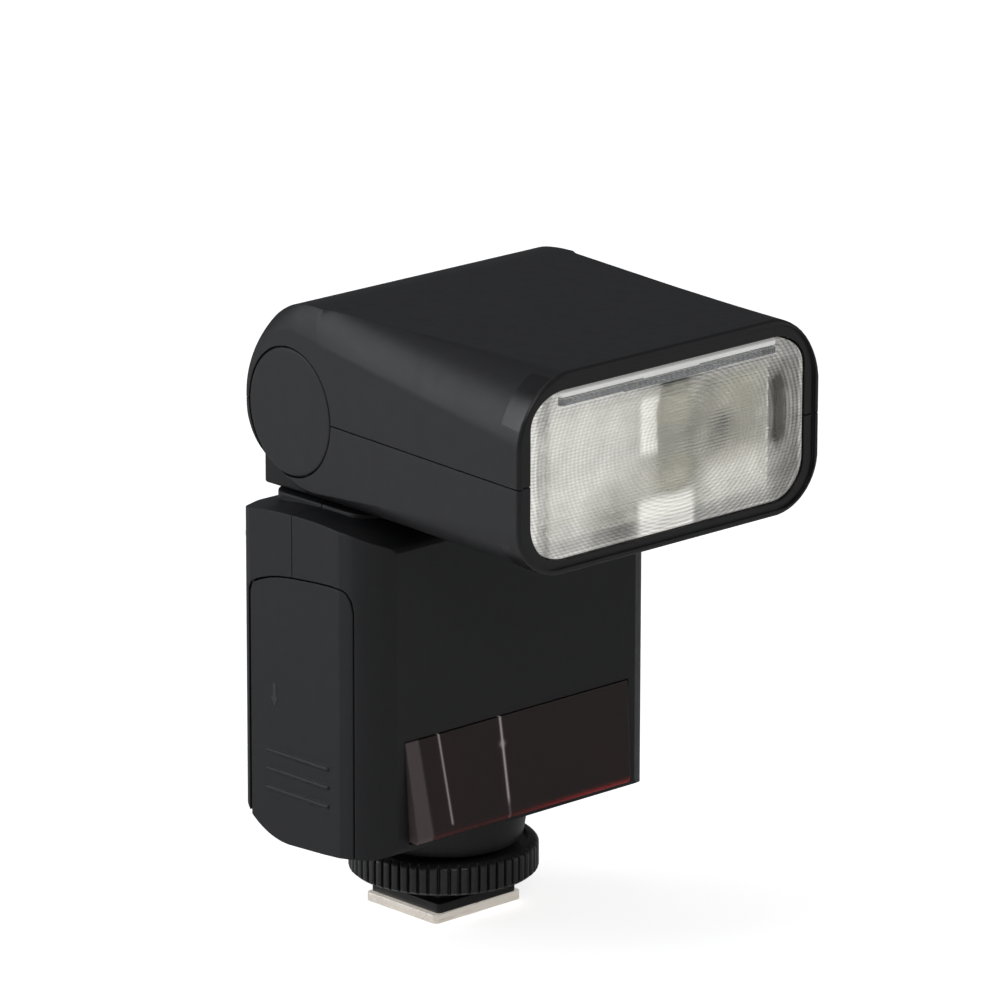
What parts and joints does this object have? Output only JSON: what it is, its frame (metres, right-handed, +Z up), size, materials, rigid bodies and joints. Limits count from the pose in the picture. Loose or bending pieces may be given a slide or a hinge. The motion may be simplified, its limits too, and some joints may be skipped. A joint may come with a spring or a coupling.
{
  "type": "speedlight flash",
  "caption": "Compact hot-shoe camera flash: tilting and swivelling head with zoom reflector and pull-out panels, slim body with side battery door, dial and keys, locking foot",
  "frame": {"origin": "centre of the underside of the foot plate", "axes": "+Z up; -Y is the direction the head points at rest, away from the viewer; +X is the viewer's right; the battery door is on -X"},
  "size_m": [0.063, 0.0687, 0.102],
  "materials": {
    "housing": "fine matte texture, near black",
    "neck_plastic": "fine matte texture, near black",
    "dark_red_window": "polished, dark red translucent",
    "circuit_board": "green solder resist",
    "display": "liquid crystal panel",
    "display_window": "clear tinted window",
    "capacitor_sleeve": "dark plastic sleeve",
    "ferrite": "ferrite and copper winding",
    "battery_case": "dark grey case",
    "gold_contact": "gold plated",
    "inner_plastic": "moulded inner part",
    "foot_metal": "brushed nickel",
    "foot_plastic": "hard black plastic",
    "screw_steel": "machined steel",
    "ring_plastic": "satin black, ribbed",
    "control_plastic": "satin dark grey",
    "test_lamp": "translucent red",
    "bearing_steel": "turned steel",
    "lens_clear": "clear acrylic with fine rings",
    "diffuser_clear": "clear ribbed acrylic",
    "card_white": "white card",
    "reflector_metal": "polished aluminium",
    "tube_glass": "clear glass with metal ends",
    "socket_shell": "plated shell",
    "motor_steel": "drawn steel can",
    "coil_winding": "wound coil, lacquered"
  },
  "bodies": {
    "body": {"front_shell": "housing", "rear_shell": "housing", "sensor_window": "dark_red_window", "sensor_board": "circuit_board", "main_board": "circuit_board", "lcd_module": "display", "lcd_window": "display_window", "main_capacitor": "capacitor_sleeve", "charge_transformer": "ferrite", "battery_pack": "battery_case", "battery_contacts": "gold_contact", "battery_tray": "inner_plastic", "foot_block": "foot_plastic", "foot_plate": "foot_metal", "foot_screws": "screw_steel", "housing_screws": "screw_steel", "dial_encoder": "inner_plastic", "usb_socket": "socket_shell"},
    "neck": {"neck_front": "neck_plastic", "neck_rear": "neck_plastic", "swivel_hub": "bearing_steel", "swivel_retainer": "bearing_steel", "tilt_axles": "bearing_steel", "axle_screws": "screw_steel"},
    "head": {"head_upper_shell": "housing", "head_lower_shell": "housing", "pivot_cap_left": "housing", "pivot_cap_right": "housing", "fresnel_lens": "lens_clear", "guide_rods": "bearing_steel", "stepper_motor": "motor_steel", "trigger_coil": "coil_winding", "panel_guide": "inner_plastic"},
    "zoom_unit": {"zoom_carriage": "inner_plastic", "reflector": "reflector_metal", "flash_tube": "tube_glass"},
    "zoom_screw": {"lead_screw": "bearing_steel"},
    "catchlight": {"catchlight_panel": "card_white"},
    "wide": {"wide_panel": "diffuser_clear"},
    "door_slider": {"door_hinge_pin": "bearing_steel"},
    "door": {"battery_door": "housing"},
    "usb_flap": {"usb_cover": "control_plastic"},
    "clamp": {"pressure_plate": "foot_plastic"},
    "ring": {"lock_ring": "ring_plastic"},
    "shoe_pin": {"lock_pin": "bearing_steel"},
    "contacts": {"contact_pins": "gold_contact"},
    "dial": {"select_dial": "control_plastic"},
    "set_key": {"set_button": "control_plastic"},
    "key_mode": {"mode_key": "control_plastic"},
    "key_zoom": {"zoom_key": "control_plastic"},
    "key_sync": {"sync_key": "control_plastic"},
    "key_slave": {"slave_key": "control_plastic"},
    "key_test": {"test_button": "test_lamp"},
    "switch": {"power_switch": "control_plastic"}
  },
  "joints": [
    {"name": "swivel", "type": "hinge", "parent": "body", "child": "neck", "pos_m": [0, 0.0043, 0.072], "axis": [0, 0, 1], "range_deg": [-150, 180]},
    {"name": "tilt", "type": "hinge", "parent": "neck", "child": "head", "pos_m": [0, 0.0053, 0.0842], "axis": [-1, 0, 0], "range_deg": [0, 90]},
    {"name": "zoom", "type": "slide", "parent": "head", "child": "zoom_unit", "axis": [0, 1, 0], "range_m": [0, 0.012]},
    {"name": "zoom_screw_spin", "type": "hinge", "parent": "head", "child": "zoom_screw", "pos_m": [-0.019, -0.03, 0.0757], "axis": [0, 1, 0], "range_deg": [0, 1441]},
    {"name": "catchlight_pull", "type": "slide", "parent": "head", "child": "catchlight", "axis": [0, -1, 0], "range_m": [0, 0.033]},
    {"name": "wide_panel_pull", "type": "slide", "parent": "head", "child": "wide", "axis": [0, -1, 0], "range_m": [0, 0.033]},
    {"name": "door_slide", "type": "slide", "parent": "body", "child": "door_slider", "axis": [0, 0, -1], "range_m": [0, 0.003]},
    {"name": "door_swing", "type": "hinge", "parent": "door_slider", "child": "door", "pos_m": [-0.03035, 0.0103, 0.04], "axis": [0, 0, -1], "range_deg": [0, 95]},
    {"name": "usb_cover_swing", "type": "hinge", "parent": "body", "child": "usb_flap", "pos_m": [0.03038, -0.0052, 0.03672], "axis": [0, 1, 0], "range_deg": [0, 100]},
    {"name": "clamp_travel", "type": "slide", "parent": "body", "child": "clamp", "axis": [0, 0, -1], "range_m": [0, 0.00121]},
    {"name": "lock_ring_turn", "type": "hinge", "parent": "clamp", "child": "ring", "pos_m": [0, 0, 0.008], "axis": [0, 0, 1], "range_deg": [0, 432]},
    {"name": "lock_pin_travel", "type": "slide", "parent": "body", "child": "shoe_pin", "axis": [0, 0, -1], "range_m": [0, 0.00121]},
    {"name": "contact_pin_travel", "type": "slide", "parent": "body", "child": "contacts", "axis": [0, 0, 1], "range_m": [0, 0.0005]},
    {"name": "dial_turn", "type": "hinge", "parent": "body", "child": "dial", "pos_m": [0, 0.017, 0.0312], "axis": [0, 1, 0], "continuous": true},
    {"name": "set_press", "type": "slide", "parent": "body", "child": "set_key", "axis": [0, -1, 0], "range_m": [0, 0.0006]},
    {"name": "mode_press", "type": "slide", "parent": "body", "child": "key_mode", "axis": [0, -1, 0], "range_m": [0, 0.0006]},
    {"name": "zoom_key_press", "type": "slide", "parent": "body", "child": "key_zoom", "axis": [0, -1, 0], "range_m": [0, 0.0006]},
    {"name": "sync_press", "type": "slide", "parent": "body", "child": "key_sync", "axis": [0, -1, 0], "range_m": [0, 0.0006]},
    {"name": "slave_press", "type": "slide", "parent": "body", "child": "key_slave", "axis": [0, -1, 0], "range_m": [0, 0.0006]},
    {"name": "test_press", "type": "slide", "parent": "body", "child": "key_test", "axis": [0, -1, 0], "range_m": [0, 0.0006]},
    {"name": "power_slide", "type": "slide", "parent": "body", "child": "switch", "axis": [1, 0, 0], "range_m": [0, 0.0038]}
  ],
  "couplings": [
    {"joint": "zoom_screw_spin", "follows": "zoom", "rad_per_m": 2094.4},
    {"joint": "clamp_travel", "follows": "lock_ring_turn", "m_per_rad": 0.00015915},
    {"joint": "lock_pin_travel", "follows": "lock_ring_turn", "m_per_rad": 0.00015915}
  ]
}
